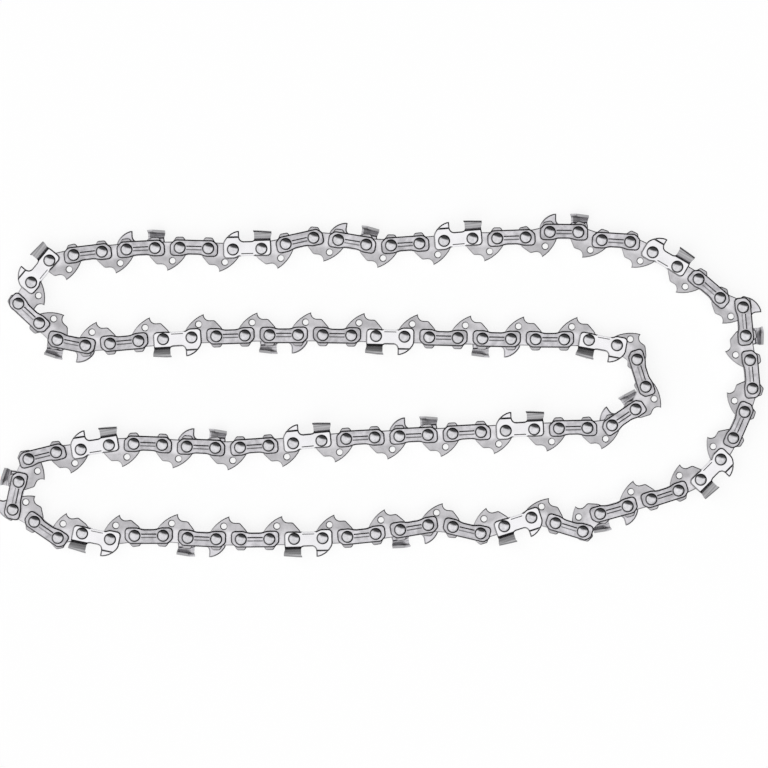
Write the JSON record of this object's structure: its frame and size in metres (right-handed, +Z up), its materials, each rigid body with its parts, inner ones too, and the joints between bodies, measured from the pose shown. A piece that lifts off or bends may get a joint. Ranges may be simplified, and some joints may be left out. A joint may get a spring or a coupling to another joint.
{
  "type": "chainsaw chain loop",
  "caption": "Closed saw chain loop laid flat: drive links with hooked tangs, tie straps, left and right cutters with depth gauges, joined by rivets it pivots on.",
  "frame": {"origin": "middle of the laid loop's footprint, on the surface that it lies on", "axes": "+X along the long side of the lay, +Y towards its upper lobe, +Z up off the surface"},
  "size_m": [0.2692, 0.1206, 0.0066],
  "materials": {
    "cutter_chrome": "bright satin hard chrome on steel",
    "tie_strap_steel": "tumbled, oiled stamped steel",
    "drive_link_steel": "satin tumbled stamped steel",
    "rivet_steel": "polished, spun domed heads"
  },
  "bodies": {
    "right_end": {"inner_bend_drive_links": "drive_link_steel", "inner_bend_left_cutters": "cutter_chrome", "inner_bend_right_cutters": "cutter_chrome", "inner_bend_rivets": "rivet_steel", "inner_bend_tie_straps": "tie_strap_steel", "right_bend_drive_links": "drive_link_steel", "right_bend_left_cutters": "cutter_chrome", "right_bend_right_cutters": "cutter_chrome", "right_bend_rivets": "rivet_steel", "right_bend_tie_straps": "tie_strap_steel"},
    "upper_outer_run": {"upper_outer_run_drive_links": "drive_link_steel", "upper_outer_run_left_cutters": "cutter_chrome", "upper_outer_run_right_cutters": "cutter_chrome", "upper_outer_run_rivets": "rivet_steel", "upper_outer_run_tie_straps": "tie_strap_steel"},
    "upper_lobe": {"upper_lobe_drive_links": "drive_link_steel", "upper_lobe_left_cutters": "cutter_chrome", "upper_lobe_right_cutters": "cutter_chrome", "upper_lobe_rivets": "rivet_steel", "upper_lobe_tie_straps": "tie_strap_steel"},
    "upper_inner_run": {"upper_inner_run_drive_links": "drive_link_steel", "upper_inner_run_left_cutters": "cutter_chrome", "upper_inner_run_right_cutters": "cutter_chrome", "upper_inner_run_rivets": "rivet_steel", "upper_inner_run_tie_straps": "tie_strap_steel"},
    "lower_outer_run": {"lower_outer_run_drive_links": "drive_link_steel", "lower_outer_run_left_cutters": "cutter_chrome", "lower_outer_run_right_cutters": "cutter_chrome", "lower_outer_run_rivets": "rivet_steel", "lower_outer_run_tie_straps": "tie_strap_steel"},
    "lower_lobe": {"lower_lobe_drive_links": "drive_link_steel", "lower_lobe_left_cutters": "cutter_chrome", "lower_lobe_right_cutters": "cutter_chrome", "lower_lobe_rivets": "rivet_steel", "lower_lobe_tie_straps": "tie_strap_steel"},
    "lower_inner_run": {"lower_inner_run_drive_links": "drive_link_steel", "lower_inner_run_left_cutters": "cutter_chrome", "lower_inner_run_right_cutters": "cutter_chrome", "lower_inner_run_rivets": "rivet_steel", "lower_inner_run_tie_straps": "tie_strap_steel"}
  },
  "joints": [
    {"name": "upper_swing", "type": "hinge", "parent": "right_end", "child": "upper_outer_run", "pos_m": [0.02244, 0.05058, 0.0033], "axis": [0, 0, -1], "range_deg": [-5, 12]},
    {"name": "upper_lobe_pivot", "type": "hinge", "parent": "upper_outer_run", "child": "upper_lobe", "pos_m": [-0.09735, 0.04681, 0.0033], "axis": [0, 0, -1], "range_deg": [-14, 7]},
    {"name": "upper_inner_pivot", "type": "hinge", "parent": "upper_lobe", "child": "upper_inner_run", "pos_m": [-0.10312, 0.01396, 0.0033], "axis": [0, 0, -1], "range_deg": [-7, 14]},
    {"name": "lower_swing", "type": "hinge", "parent": "right_end", "child": "lower_outer_run", "pos_m": [0.01689, -0.0489, 0.0033], "axis": [0, 0, 1], "range_deg": [-5, 12]},
    {"name": "lower_lobe_pivot", "type": "hinge", "parent": "lower_outer_run", "child": "lower_lobe", "pos_m": [-0.08592, -0.05266, 0.0033], "axis": [0, 0, 1], "range_deg": [-13, 6]},
    {"name": "lower_inner_pivot", "type": "hinge", "parent": "lower_lobe", "child": "lower_inner_run", "pos_m": [-0.08622, -0.02045, 0.0033], "axis": [0, 0, 1], "range_deg": [-6, 13]}
  ],
  "couplings": [
    {"joint": "upper_lobe_pivot", "follows": "upper_swing", "ratio": -1.0279},
    {"joint": "upper_inner_pivot", "follows": "upper_swing", "ratio": 1.0217},
    {"joint": "lower_lobe_pivot", "follows": "lower_swing", "ratio": -0.9794},
    {"joint": "lower_inner_pivot", "follows": "lower_swing", "ratio": 0.97776}
  ]
}
